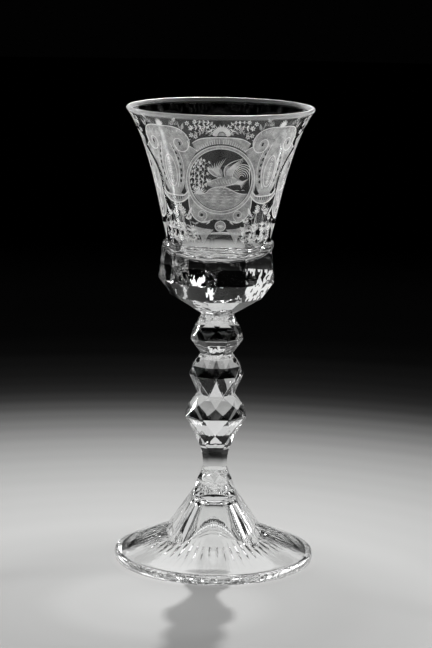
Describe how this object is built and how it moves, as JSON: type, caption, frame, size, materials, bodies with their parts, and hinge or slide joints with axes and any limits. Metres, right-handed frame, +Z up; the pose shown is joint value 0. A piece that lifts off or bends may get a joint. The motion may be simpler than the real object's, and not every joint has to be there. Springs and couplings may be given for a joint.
{
  "type": "footed glass cup",
  "caption": "Tall footed glass cup with a flared bell bowl, a thick faceted bowl base, a knopped facet-cut stem and a wide domed foot, for holding drink.",
  "frame": {"origin": "centre of the foot's resting ring, on the surface that the cup stands on", "axes": "+Z up along the axis of the bowl and stem; -Y is the side of the main engraved medallion; +X is to the right when that side is seen from the front"},
  "size_m": [0.0786, 0.0786, 0.18],
  "materials": {
    "clear_glass": "clear colourless glass, cold-ground and polished",
    "wheel_engraving": "the same glass, cut matt by the engraver's wheel and left unpolished"
  },
  "bodies": {
    "root": {"foot": "clear_glass", "foot_collar": "clear_glass", "baluster": "clear_glass", "middle_knop": "clear_glass", "upper_knop": "clear_glass", "bowl_base": "clear_glass", "bowl": "clear_glass"}
  },
  "joints": []
}
